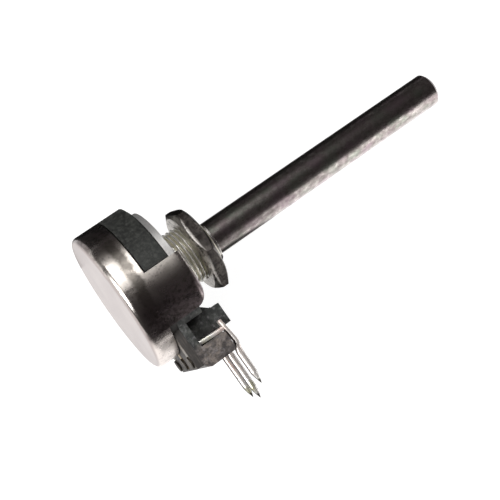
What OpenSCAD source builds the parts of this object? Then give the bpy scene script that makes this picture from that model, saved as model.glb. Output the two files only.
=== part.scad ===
// Panel potentiometer: carbon track in a drawn steel can, threaded bush, long plain shaft.
// X runs along the shaft to its tip, the terminals point to -Y, and X = 0 is the front of the plate.

/* [Shaft] */
// Diameter of the shaft
shaft_d = 6; // [4:0.05:6.35]
// Distance from the front plate to the tip of the shaft
shaft_reach = 56.5; // [15:0.5:80]
// Chamfer on the tip of the shaft
shaft_chamfer = 0.5; // [0.2:0.1:0.8]
// Depth of each of the two flats on the inner end of the shaft
shaft_flat_depth = 0.7; // [0.4:0.1:0.9]

/* [Bush and nut] */
// Outer diameter of the bush thread
bush_d = 10; // [9:0.1:12]
// Length of the bush in front of the plate
bush_len = 7.4; // [6:0.1:12]
// Chamfer on the front end of the bush
bush_chamfer = 0.6; // [0.2:0.1:0.9]
// Diameter of the spigot that is staked through the plate
spigot_d = 8; // [7.6:0.1:8.6]
// Width of the nut across its flats
nut_across_flats = 14; // [13:0.5:17]
// Thickness of the nut
nut_t = 2.6; // [1.6:0.1:3]
// Distance of the nut from the front plate
nut_gap = 4.1; // [1:0.1:4.2]
// Turn of the nut about the shaft
nut_turn = 12; // [0:1:60]

/* [Can] */
// Outer diameter of the can
can_d = 24.8; // [23.6:0.1:30]
// Thickness of the can sheet
can_t = 0.5; // [0.3:0.05:0.6]
// Room between the wafer and the inside of the can's back
rear_room = 3.5; // [3.3:0.1:6]
// Outer radius of the bend round the back of the can
can_edge_r = 1; // [0.7:0.1:1.5]
// Width of each of the two lobes that are folded over the plate, as an angle
lobe_angle = 44; // [30:0.5:60]
// Angle from the terminals to the nearer edge of each lobe
lobe_start = 51; // [47:0.5:60]
// Length of lobe that lies on the plate
lobe_fold = 2.9; // [2.3:0.1:3.2]

/* [Front plate] */
// Distance from the rim of the front plate to the inside of the can
plate_inset = 1.4; // [1.1:0.1:2]
// Thickness of the front plate
plate_t = 1.4; // [1:0.1:2]
// Distance from the shaft axis to the flat side of the plate
plate_flat = 7.2; // [6.8:0.1:8]

/* [Base and wafer] */
// Thickness of the base between the plate and the wafer
base_t = 4.4; // [4:0.1:6]
// Wall of the base round its stop chamber
chamber_wall = 2.9; // [2.4:0.1:3.4]
// Depth of the stop chamber
chamber_depth = 2.2; // [2:0.1:2.5]
// Thickness of the resistor wafer
wafer_t = 1.2; // [0.8:0.1:1.6]
// Moulding outside each of the two outer strips
block_side = 0.5; // [0.3:0.1:1.5]
// Distance from the strips' run down to the foot of the terminal block
block_drop = 4; // [3.6:0.1:7]
// Gap between the neck of the base and each outer strip
neck_gap = 0.3; // [0.1:0.1:1]
// Distance that the two front arms reach past the plate
arm_reach = 2.1; // [1.4:0.1:3]

/* [Terminals] */
// Distance from one terminal to the next
terminal_pitch = 6.5; // [5.4:0.1:8]
// Width of the terminal strip
strip_w = 2; // [1.4:0.1:2]
// Thickness of the terminal strip
strip_t = 0.6; // [0.4:0.05:0.7]
// Width of a pin
pin_w = 1.2; // [0.8:0.1:1.4]
// Distance from the shaft axis to the tip of a pin
pin_reach = 25.8; // [22:0.1:30]
// Length by which the worn right-hand pin is shorter
worn_pin_loss = 2.6; // [0:0.1:3]

/* [Travel] */
// Whole turn of the shaft between its stops
turn_angle = 300; // [240:5:310]
// Turn at which the model is drawn, from the middle of the travel
turn_now = 0; // [-150:1:150]

/* [Hidden] */
$fn = 64;

running_gap = 0.03;      // radial gap of the shaft in its bush and of the nut on the thread
seat_gap = 0.02;         // gap of a pressed or keyed piece
sheet_gap = 0.1;         // gap of the loose edges of sheet and moulding
eps = 0.01;              // overrun of a cut past the face it opens
far = 40;                // longer than any cut needs to be

shaft_r = shaft_d / 2;
flat_half = shaft_r - shaft_flat_depth;
bush_r = bush_d / 2;
can_r = can_d / 2;
can_in_r = can_r - can_t;
plate_r = can_in_r - plate_inset;

// Stations along X, from the plate backwards
plate_back = -plate_t;
stake_t = 0.4;
bush_back = plate_back - stake_t;
thrust_t = 0.3;
thrust_front = bush_back - running_gap;
stop_t = 1;
stop_front = thrust_front - thrust_t;
stop_back = stop_front - stop_t;
chamber_back = plate_back - chamber_depth;
base_back = plate_back - base_t;
wafer_back = base_back - wafer_t;
film_t = 0.06;
collector_t = 0.3;
rotor_t = 1.4;
rotor_front = wafer_back - 1.4;
rotor_back = rotor_front - rotor_t;
wiper_t = 0.25;
shaft_back = rotor_back - 0.3;
can_in_back = wafer_back - rear_room;
can_back = can_in_back - can_t;
window_back = base_back - 0.2;     // rear edge of the opening above the lobes
foot_edge = wafer_back - 0.2;      // edge of the can wall behind the terminal block

// The ring that keeps the shaft from being pushed back
ring_t = 0.55;
ring_front = bush_len + running_gap + ring_t;
ring_r = shaft_r + 0.9;
groove_depth = 0.5;

// The stop: the arm and its fixed lug share what the travel leaves of a full turn
stop_play = 1;
arm_angle = 25;
lug_angle = 360 - turn_angle - arm_angle - stop_play;
chamber_r = can_in_r - chamber_wall;
arm_r = chamber_r - 0.6;
stop_hub_r = shaft_r + 1.6;
lug_in_r = stop_hub_r + 0.6;

// The track and the collector
track_w = 2;
track_r = can_in_r - 1.7 - track_w / 2;
track_angle = 290;
collector_w = 1.6;
collector_r = shaft_r + 2.4;
tail_w = 1.6;

// The rotor's hub, the wiper's ring round it and the two pips that hold the ring
hub_r = shaft_r + 0.5;
wiper_ring_r = shaft_r + 2;
pip_at = (hub_r + wiper_ring_r) / 2;
pip_r = 0.3;

// The terminal block, along -Y
run_y = can_r + sheet_gap;         // near face of the strip where it runs along the block
shoulder_y = run_y + strip_t;
block_reach = run_y + block_drop;
block_w = 2 * (terminal_pitch + block_side) + strip_w;
block_front = -0.15;
rib_t = 1.3;
neck_w = 2 * (terminal_pitch - neck_gap) - strip_w;
neck_top = plate_flat + 0.2;
arm_top = plate_flat + 1.9;
arm_foot = run_y + sheet_gap;
arm_gap = 4.4;
arm_back = 0.6;                    // face of the neck that the two arms stand on
rivet_y = shoulder_y + 1.1;
wafer_foot = block_reach - 0.9;
tab_foot = rivet_y + 1.2;
rivet_r = 0.6;
rivet_head_r = 1.05;
rivet_head_t = 0.3;

// Turns a shape drawn on its axis so that it lies along X: height to +X, 90 degrees to +Y
module lay(x) translate([x, 0, 0]) rotate([0, 90, 0]) children();

// Round piece along X between two stations
module rod(x0, x1, r) lay(x0) cylinder(h = x1 - x0, r = r);

// Ring along X between two stations
module tube(x0, x1, r_out, r_in) difference() {
    rod(x0, x1, r_out);
    rod(x0 - eps, x1 + eps, r_in);
}

// Points of an arc about a centre
function arc(cx, cy, r, a0, a1, n) =
    [for (i = [0:n]) let (a = a0 + (a1 - a0) * i / n) [cx + r * cos(a), cy + r * sin(a)]];

// Solid wedge about the axis, between two angles that are counted in the laid section
module wedge(x0, x1, a0, a1) lay(x0) linear_extrude(height = x1 - x0)
    polygon(concat([[0, 0]], arc(0, 0, far, a0, a1, 8)));

// Ring sector, centred on a direction of the laid section
module sector(x0, x1, r_out, r_in, mid, angle) intersection() {
    tube(x0, x1, r_out, r_in);
    wedge(x0 - eps, x1 + eps, mid - angle / 2, mid + angle / 2);
}

// Block given by its corners, with -Y counted down from the axis
module block(x0, x1, down0, down1, width, z = 0)
    translate([x0, -down1, z - width / 2]) cube([x1 - x0, down1 - down0, width]);

// Section of the flatted inner end of the shaft, grown by a gap
module keyed(x0, x1, gap) intersection() {
    rod(x0, x1, shaft_r + gap);
    block(x0 - eps, x1 + eps, -far, far, 2 * (flat_half + gap));
}

// Everything that turns with the shaft
module turned() rotate([turn_now, 0, 0]) children();

UP = 90;                 // the laid section's direction away from the terminals
DOWN = 270;              // and towards them

// Drawn cup with a rounded back. Two wide lobes run forward and fold over the plate.
module can() {
    fold_r = 1;
    section = concat(
        [[0, can_back]],
        arc(can_r - can_edge_r, can_back + can_edge_r, can_edge_r, -90, 0, 8),
        arc(can_r - fold_r, can_t - fold_r, fold_r, 0, 90, 8),
        [[can_r - lobe_fold, can_t], [can_r - lobe_fold, 0]],
        arc(can_r - fold_r, can_t - fold_r, fold_r - can_t, 90, 0, 6),
        arc(can_r - can_edge_r, can_back + can_edge_r, can_edge_r - can_t, 0, -90, 6),
        [[0, can_in_back]]
    );
    lobe_end = lobe_start + lobe_angle;
    corner_down = can_r * cos(lobe_start);
    corner_rise = 3;                   // how far the slanting cut of a lobe's corner comes up its fold
    corner_run = 1.6;                  // and how far it runs back along the wall
    beyond = 2;
    slope = (can_t + corner_run) / corner_rise;
    color("lightgray") difference() {
        lay(0) rotate_extrude() polygon(section);
        wedge(window_back, far, UP - (180 - lobe_end), UP + (180 - lobe_end));
        wedge(foot_edge, far, DOWN - lobe_start, DOWN + lobe_start);
        linear_extrude(height = far, center = true)
            polygon([
                [can_t + beyond * slope, -corner_down + corner_rise + beyond],
                [-corner_run - beyond * slope, -corner_down - beyond],
                [-corner_run - beyond * slope, -far], [far, -far],
                [far, -corner_down + corner_rise + beyond]
            ]);
    }
}

// Flat disc with one side cut off. It carries the bush.
module front_plate() {
    color("gainsboro") difference() {
        rod(plate_back, 0, plate_r);
        rod(plate_back - eps, eps, spigot_d / 2 + seat_gap);
        block(plate_back - eps, eps, plate_flat, far, far);
    }
}

// Turned bush with a shoulder on the plate and a spigot that is staked behind it.
module bushing() {
    stake_r = spigot_d / 2 + 0.7;
    section = [
        [shaft_r + running_gap, bush_back], [stake_r, bush_back], [stake_r, plate_back],
        [spigot_d / 2, plate_back], [spigot_d / 2, 0], [bush_r, 0], [bush_r, bush_len - bush_chamfer],
        [bush_r - bush_chamfer, bush_len], [shaft_r + running_gap, bush_len]
    ];
    color("silver") lay(0) rotate_extrude() polygon(section);
}

// Hexagon nut with both faces turned down at the corners.
module hex_nut() {
    corner_r = nut_across_flats / 2 / cos(30);
    face_r = nut_across_flats / 2 - 0.3;
    drop = (corner_r - face_r) * tan(30);
    color("silver") translate([nut_gap, 0, 0]) rotate([nut_turn, 0, 0]) lay(0) difference() {
        intersection() {
            cylinder(h = nut_t, r = corner_r, $fn = 6);
            rotate_extrude() polygon([
                [0, 0], [face_r, 0], [corner_r, drop], [corner_r, nut_t - drop], [face_r, nut_t], [0, nut_t]
            ]);
        }
        translate([0, 0, -eps]) cylinder(h = nut_t + 2 * eps, r = bush_r + running_gap);
    }
}

// Plain steel shaft with a ring groove in front of the bush and two flats on its inner end.
module shaft() {
    groove_back = bush_len + running_gap - seat_gap;
    groove_front = ring_front + seat_gap;
    section = [
        [0, stop_front], [shaft_r, stop_front], [shaft_r, groove_back],
        [shaft_r - groove_depth, groove_back], [shaft_r - groove_depth, groove_front],
        [shaft_r, groove_front], [shaft_r, shaft_reach - shaft_chamfer],
        [shaft_r - shaft_chamfer, shaft_reach], [0, shaft_reach]
    ];
    color("slategray") turned() {
        lay(0) rotate_extrude() polygon(section);
        keyed(shaft_back, stop_front, 0);
    }
}

// Open steel ring that snaps into the groove of the shaft.
module retaining_ring() {
    mouth = 2 * (shaft_r - groove_depth) * 0.8;
    color("silver") turned() difference() {
        tube(ring_front - ring_t, ring_front, ring_r, shaft_r - groove_depth + seat_gap);
        block(ring_front - ring_t - eps, ring_front + eps, 0, far, mouth);
    }
}

// Bronze washer between the staked end of the bush and the stop washer.
module thrust_washer() {
    color("peru") turned() tube(stop_front, thrust_front, shaft_r + 1.8, shaft_r + running_gap);
}

// Steel washer keyed on the shaft. Its arm meets the lug of the base at both ends of the travel.
module stop_washer() {
    color("darkgray") turned() difference() {
        union() {
            rod(stop_back, stop_front, stop_hub_r);
            sector(stop_back, stop_front, arm_r, shaft_r + 0.6, UP, arm_angle);
        }
        keyed(stop_back - eps, stop_front + eps, seat_gap);
    }
}

// One phenolic moulding: the drum with its stop chamber, and the terminal block below it.
module base() {
    drum_r = can_in_r - 0.05;
    window_half = 180 - lobe_start - lobe_angle - 0.5;
    color("dimgray") difference() {
        union() {
            difference() {
                rod(base_back, plate_back, drum_r);
                block(base_back - eps, plate_back + eps, neck_top + 1.4, far, far);
            }
            sector(base_back, plate_back - 0.3, can_r, drum_r - 1, UP, 2 * window_half);
            // neck with a slanting front, up to the arms
            linear_extrude(height = neck_w, center = true) polygon([
                [base_back, -neck_top + 1.5], [plate_back, -neck_top + 1.5], [plate_back, -neck_top],
                [arm_back, -arm_top], [arm_back, -arm_foot], [block_front, -arm_foot],
                [block_front, -shoulder_y - 0.5], [base_back, -shoulder_y - 0.5]
            ]);
            block(arm_back - 0.1, arm_reach, arm_top, arm_foot, neck_w);
            block(base_back, base_back + rib_t, neck_top, shoulder_y + 0.5, block_w);
            block(base_back, block_front, shoulder_y, block_reach, block_w);
        }
        // stop chamber, with the lug left standing in it
        difference() {
            rod(chamber_back, plate_back + eps, chamber_r);
            sector(chamber_back - eps, plate_back - 0.2, 2 * chamber_r, lug_in_r, DOWN, lug_angle);
        }
        rod(base_back - eps, chamber_back + eps, shaft_r + 0.4);
        // slot between the arms, and the way of each strip through the moulding
        block(block_front - strip_t, arm_reach + eps, arm_top - far, arm_foot + eps, arm_gap);
        for (z = [-1:1]) {
            block(base_back - eps, block_front + eps, run_y - sheet_gap, shoulder_y,
                  strip_w + 2 * sheet_gap, z * terminal_pitch);
            block(base_back - eps, base_back + strip_t + sheet_gap + rivet_head_t, run_y - sheet_gap,
                  tab_foot + sheet_gap, strip_w + 2 * sheet_gap, z * terminal_pitch);
        }
    }
}

// Paper laminate disc with a tongue behind the terminal block.
module wafer() {
    color("black") difference() {
        union() {
            rod(wafer_back, base_back, can_in_r - 0.2);
            block(wafer_back, base_back, 0, wafer_foot, block_w - 0.8);
        }
        rod(wafer_back - eps, base_back + eps, shaft_r + 0.6);
        for (z = [-1:1]) rivet_hole(z);
    }
}

// Hole for the shank of one rivet
module rivet_hole(z) translate([0, -rivet_y, z * terminal_pitch]) rod(-far, 0, rivet_r + seat_gap);

// Printed carbon film on the back of the wafer.
module resistive_track() {
    color("black") sector(wafer_back - film_t, wafer_back, track_r + track_w / 2, track_r - track_w / 2,
                          UP, track_angle);
}

// Brass ring in the middle of the wafer, with a tail to the middle rivet.
module collector_ring() {
    color("gold") difference() {
        union() {
            rod(wafer_back - collector_t, wafer_back, collector_r + collector_w / 2);
            block(wafer_back - film_t, wafer_back, collector_r, rivet_y + rivet_head_r, tail_w);
        }
        rod(wafer_back - collector_t - eps, wafer_back + eps, collector_r - collector_w / 2);
        rivet_hole(0);
    }
}

// Silvered pad: it meets one end of the track, passes round it and runs down to the rivet.
module end_pad(side) {
    start = 180 - track_angle / 2 - 0.3;       // angles are counted from the terminals
    inner = start - 9.4;
    rim_r = track_r + track_w / 2 + 0.05;
    pad_r = rim_r + 0.55;
    outer = max(start, asin(min(0.95, (terminal_pitch + tail_w / 2) / pad_r)));
    color("whitesmoke") difference() {
        union() {
            sector(wafer_back - film_t, wafer_back, pad_r, track_r - track_w / 2,
                   DOWN - side * (start + inner) / 2, start - inner);
            sector(wafer_back - film_t, wafer_back, pad_r, rim_r, DOWN - side * (outer + inner) / 2,
                   outer - inner);
            difference() {
                block(wafer_back - film_t, wafer_back, 0, rivet_y + rivet_head_r, tail_w,
                      side * terminal_pitch);
                rod(wafer_back - film_t - eps, wafer_back + eps, (rim_r + pad_r) / 2);
            }
        }
        rivet_hole(side);
    }
}

module end_pad_left() end_pad(-1);
module end_pad_right() end_pad(1);

// Phenolic disc keyed on the shaft, with a hub and two pips that hold the wiper.
module rotor() {
    color("black") turned() {
        difference() {
            union() {
                rod(rotor_back, rotor_front, track_r + 0.8);
                rod(rotor_front - eps, rotor_front + wiper_t + 0.1, hub_r);
                for (side = [-1, 1]) translate([0, 0, side * pip_at])
                    rod(rotor_front - eps, rotor_front + wiper_t + 0.1, pip_r);
            }
            keyed(rotor_back - eps, rotor_front + 1, seat_gap);
        }
    }
}

// Bronze spring: a ring with one arm to the track and one to the collector.
module wiper() {
    plate_front = rotor_front + wiper_t;
    color("goldenrod") turned() {
        difference() {
            union() {
                rod(rotor_front, plate_front, wiper_ring_r);
                finger(track_r, wafer_back - film_t, 1.4, 0);
                finger(collector_r, wafer_back - collector_t, 1.2, 180);
            }
            rod(rotor_front - eps, plate_front + 1, hub_r + seat_gap);
            for (side = [-1, 1]) translate([0, 0, side * pip_at])
                rod(rotor_front - eps, plate_front + eps, pip_r + seat_gap);
        }
    }
}

// One spring finger, from the wiper's ring to a round contact that runs a hair off its surface
module finger(reach, surface, width, turn) {
    root = hub_r + 0.4;
    dimple_r = 0.3;
    tip_x = surface - running_gap - dimple_r;
    root_x = rotor_front + wiper_t;
    lean = atan2(tip_x - root_x, reach - root);
    length = norm([tip_x - root_x, reach - root]);
    rotate([turn, 0, 0]) {
        translate([root_x, root, 0]) rotate([0, 0, -lean])
            translate([-wiper_t / 2, -0.2, -width / 2]) cube([wiper_t, length + 0.6, width]);
        translate([tip_x, reach, 0]) sphere(r = dimple_r);
    }
}

// Tinned strip: a tab on the wafer, a run along the block, a leaning blade and a pin.
module terminal(side, loss) {
    z = side * terminal_pitch;
    back = block_front + 0.05;                 // rear face of the blade at its top
    lean = 0.45;                               // how far the blade leans forward at its foot
    blade_top = run_y - 1.2;
    blade_foot = block_reach - 1.2;
    pin_x = side == 0 ? -0.1 : 0.15;           // the middle pin stands a little further back
    pin_back = pin_x - pin_w / 2;
    pin_front = pin_x + pin_w / 2;
    neck_y = block_reach + sheet_gap;          // where the blade has bent back under the block
    pin_tip = pin_reach - loss;
    point_len = 2;
    point_half = 0.15;
    color("whitesmoke") difference() {
        union() {
            block(base_back, back + strip_t / 2, run_y, shoulder_y, strip_w, z);
            block(base_back, base_back + strip_t, run_y, tab_foot, strip_w, z);
            translate([0, 0, z]) linear_extrude(height = strip_w, center = true) polygon([
                [back, -blade_top], [back + strip_t, -blade_top],
                [back + strip_t + lean, -blade_foot], [back + strip_t + lean - 0.1, -blade_foot - 0.5],
                [pin_front, -neck_y - 0.2], [pin_front, -neck_y - 0.5], [pin_back, -neck_y - 0.5],
                [pin_back, -neck_y], [back, -neck_y], [back + lean, -blade_foot]
            ]);
            translate([0, 0, z]) linear_extrude(height = pin_w, center = true) polygon([
                [pin_back, -neck_y], [pin_front, -neck_y - 0.2], [pin_front, -pin_tip + point_len],
                [pin_x + point_half, -pin_tip], [pin_x - point_half, -pin_tip],
                [pin_back, -pin_tip + point_len]
            ]);
        }
        rivet_hole(side);
    }
}

module terminal_left() terminal(-1, 0);
module terminal_wiper() terminal(0, 0);
module terminal_right() terminal(1, worn_pin_loss);

// Brass eyelet through the strip and the wafer, spread on both sides.
module rivet(side) {
    tab_front = base_back + strip_t;
    film_back = wafer_back - film_t;
    color("darkgoldenrod") translate([0, -rivet_y, side * terminal_pitch]) {
        rod(film_back - eps, tab_front + eps, rivet_r);
        rod(film_back - rivet_head_t, film_back, rivet_head_r);
        rod(tab_front, tab_front + rivet_head_t, rivet_r + 0.3);
    }
}

module rivet_left() rivet(-1);
module rivet_wiper() rivet(0);
module rivet_right() rivet(1);

can();
front_plate();
bushing();
hex_nut();
shaft();
retaining_ring();
thrust_washer();
stop_washer();
base();
wafer();
resistive_track();
collector_ring();
end_pad_left();
end_pad_right();
rotor();
wiper();
terminal_left();
terminal_wiper();
terminal_right();
rivet_left();
rivet_wiper();
rivet_right();
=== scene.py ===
"""Panel potentiometer: drawn steel can, black moulded base, tinned terminals, threaded bush, hexagon nut
and a long plain shaft. The shaft lies along X, the terminals point to -Y. Drawn in millimetres."""

import math

import bmesh
import bpy
import numpy as np
from mathutils import Matrix


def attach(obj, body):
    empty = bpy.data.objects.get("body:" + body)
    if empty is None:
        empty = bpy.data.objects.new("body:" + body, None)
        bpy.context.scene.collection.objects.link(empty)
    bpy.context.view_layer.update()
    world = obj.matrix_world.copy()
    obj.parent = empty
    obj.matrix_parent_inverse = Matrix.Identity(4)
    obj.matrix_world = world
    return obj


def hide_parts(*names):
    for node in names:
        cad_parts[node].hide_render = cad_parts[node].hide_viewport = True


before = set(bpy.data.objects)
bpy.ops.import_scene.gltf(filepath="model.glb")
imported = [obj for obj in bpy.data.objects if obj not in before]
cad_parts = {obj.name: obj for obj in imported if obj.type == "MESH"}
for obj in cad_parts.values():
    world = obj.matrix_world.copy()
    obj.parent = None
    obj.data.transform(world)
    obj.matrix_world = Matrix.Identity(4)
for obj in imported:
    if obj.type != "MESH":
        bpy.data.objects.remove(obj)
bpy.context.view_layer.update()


# ---- Can ----
# The can is a cup deep-drawn from bright nickel-plated steel sheet. Its wall is cut open over the base, and two
# wide lobes that are left standing are folded over the front plate, which clamps the whole stack together.

CAN_R = 12.4
CAN_SHEET = 0.5
CAN_BACK = -11.0
CAN_EDGE = 1.0           # bend round the back
FOLD = 1.0               # bend of each lobe over the plate
FOLD_END = CAN_R - 2.9
WINDOW_BACK = -6.0       # rear edge of the opening over the base
FOOT_EDGE = -7.2         # edge of the wall behind the terminal block
LOBE_TOP = 85.0          # a lobe's two edges, as angles from +Y
LOBE_FOOT = 129.0
CORNER_BACK = -1.6       # the lobe's lower corner is rounded from here to its fold
CORNER_TOP = 4.8
CORNER_DROP = 3.0
BACK_CELLS = 13          # cells of the grid along the back, behind the foot edge and up to the window
REAR_CELLS = 8
STEP_CELLS = 3


def span(start, stop, cells):
    """Evenly spaced values from start up to, but not with, stop."""
    return np.linspace(start, stop, cells, endpoint=False)


def ring_points(angle, radius, x):
    """Points round the shaft axis, with the angle in degrees from +Y: x stays, y = radius * cos(angle) and
    z = radius * sin(angle)."""
    a = np.radians(angle)
    x, r, a = np.broadcast_arrays(x, radius, a)
    return np.stack([x, r * np.cos(a), r * np.sin(a)], -1)


def grid_faces(rows, cols, wrap_rows, wrap_cols):
    """Quads between the neighbouring points of a grid that is numbered row by row."""
    i = np.arange(rows if wrap_rows else rows - 1)[:, None]
    j = np.arange(cols if wrap_cols else cols - 1)[None, :]
    i1, j1 = (i + 1) % rows, (j + 1) % cols
    corners = np.broadcast_arrays(i * cols + j, i1 * cols + j, i1 * cols + j1, i * cols + j1)
    return np.stack(corners, -1).reshape(-1, 4)


def put_in_scene(name, data):
    """A new object that holds the given mesh, lamp or camera, linked to the scene."""
    thing = bpy.data.objects.new(name, data)
    bpy.context.scene.collection.objects.link(thing)
    return thing


def make_piece(name, shells, body, stands_for, finish, rounding=0.0, smooth=32.0, marks=None):
    """Puts closed shells, each a pair of points in mm and faces, into one mesh in metres. Doubles are merged, so
    that seams and poles close, and every face is turned outwards. Edges over `smooth` degrees stay crisp, or get
    a small rounding in mm. `marks` holds one value per point, for the finish to read."""
    points, faces, start = [], [], 0
    for shell_points, shell_faces in shells:
        flat = np.asarray(shell_points, float).reshape(-1, 3)
        points.append(flat)
        faces += [[start + k for k in face] for face in shell_faces]
        start += len(flat)
    mesh = bpy.data.meshes.new(name)
    mesh.from_pydata(np.concatenate(points) / 1000, [], faces)
    if marks is not None:
        side = mesh.attributes.new("side", "FLOAT", "POINT")
        side.data.foreach_set("value", np.asarray(marks, np.float32))
    work = bmesh.new()
    work.from_mesh(mesh)
    bmesh.ops.remove_doubles(work, verts=work.verts, dist=2e-6)
    bmesh.ops.dissolve_degenerate(work, edges=work.edges, dist=1e-6)
    bmesh.ops.recalc_face_normals(work, faces=work.faces)
    work.to_mesh(mesh)
    work.free()
    mesh.polygons.foreach_set("use_smooth", np.ones(len(mesh.polygons), bool))
    mesh.set_sharp_from_angle(angle=math.radians(smooth))
    piece = put_in_scene(name, mesh)
    mesh.materials.append(finish)
    if rounding:
        bevel = piece.modifiers.new("edge", "BEVEL")
        bevel.width = rounding / 1000
        bevel.segments = 2
        bevel.limit_method = "ANGLE"
        bevel.angle_limit = math.radians(smooth)
        bevel.harden_normals = True
    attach(piece, body)
    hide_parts(*stands_for)
    return piece


def linear(code):
    """An sRGB hex colour as linear red, green, blue and alpha."""
    parts = [int(code[k:k + 2], 16) / 255 for k in (1, 3, 5)]
    return [c / 12.92 if c <= 0.04045 else ((c + 0.055) / 1.055) ** 2.4 for c in parts] + [1.0]


def add(tree, kind, settings=None, inputs=None):
    """Adds one node, gives it its settings, and sets or links its inputs. Returns the node."""
    node = tree.nodes.new(kind)
    for key, value in (settings or {}).items():
        setattr(node, key, value)
    for key, value in (inputs or {}).items():
        if isinstance(value, bpy.types.NodeSocket):
            tree.links.new(value, node.inputs[key])
        else:
            node.inputs[key].default_value = value
    return node


def start_finish(name, metallic, roughness):
    """A new material. Returns it with its tree, its shader and the object's coordinates, which are in metres."""
    material = bpy.data.materials.new(name)
    material.use_nodes = True
    tree = material.node_tree
    shader = tree.nodes["Principled BSDF"]
    shader.inputs["Metallic"].default_value = metallic
    shader.inputs["Roughness"].default_value = roughness
    where = add(tree, "ShaderNodeTexCoord").outputs["Object"]
    return material, tree, shader, where


def mottle(tree, where, size, stretch=(1, 1, 1), detail=4.0, rough=0.55, bend=0.0):
    """Cloudy pattern whose patches are about `size` mm across, drawn out along an axis by a stretch above 1."""
    placed = add(tree, "ShaderNodeMapping", None, {"Vector": where, "Scale": [1 / s for s in stretch]})
    return add(tree, "ShaderNodeTexNoise", None, {
        "Vector": placed.outputs[0], "Scale": 1000 / size / 2, "Detail": detail, "Roughness": rough,
        "Distortion": bend}).outputs["Fac"]


def ramp(tree, value, *stops):
    """Colour ramp over a value. Each stop is a place from 0 to 1 and an sRGB hex colour."""
    node = add(tree, "ShaderNodeValToRGB", None, {"Fac": value})
    marks = node.color_ramp.elements
    while len(marks) < len(stops):
        marks.new(0.5)
    for mark, (place, code) in zip(marks, stops):
        mark.position = place
        mark.color = linear(code)
    return node.outputs["Color"]


def scaled(tree, value, low, high, to_low, to_high):
    """Carries the part of a value between low and high over to a new range, and clamps it there."""
    return add(tree, "ShaderNodeMapRange", None, {
        "Value": value, "From Min": low, "From Max": high, "To Min": to_low, "To Max": to_high}).outputs["Result"]


def lay_over(tree, mask, below, above):
    """Colour `above` laid over colour `below` where the mask is 1."""
    return add(tree, "ShaderNodeMix", {"data_type": "RGBA"}, {0: mask, 6: below, 7: above}).outputs[2]


def relief(tree, height, depth, strength=1.0):
    """Bump whose full height is `depth` mm."""
    return add(tree, "ShaderNodeBump", None, {
        "Height": height, "Distance": depth / 1000, "Strength": strength}).outputs["Normal"]


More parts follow.
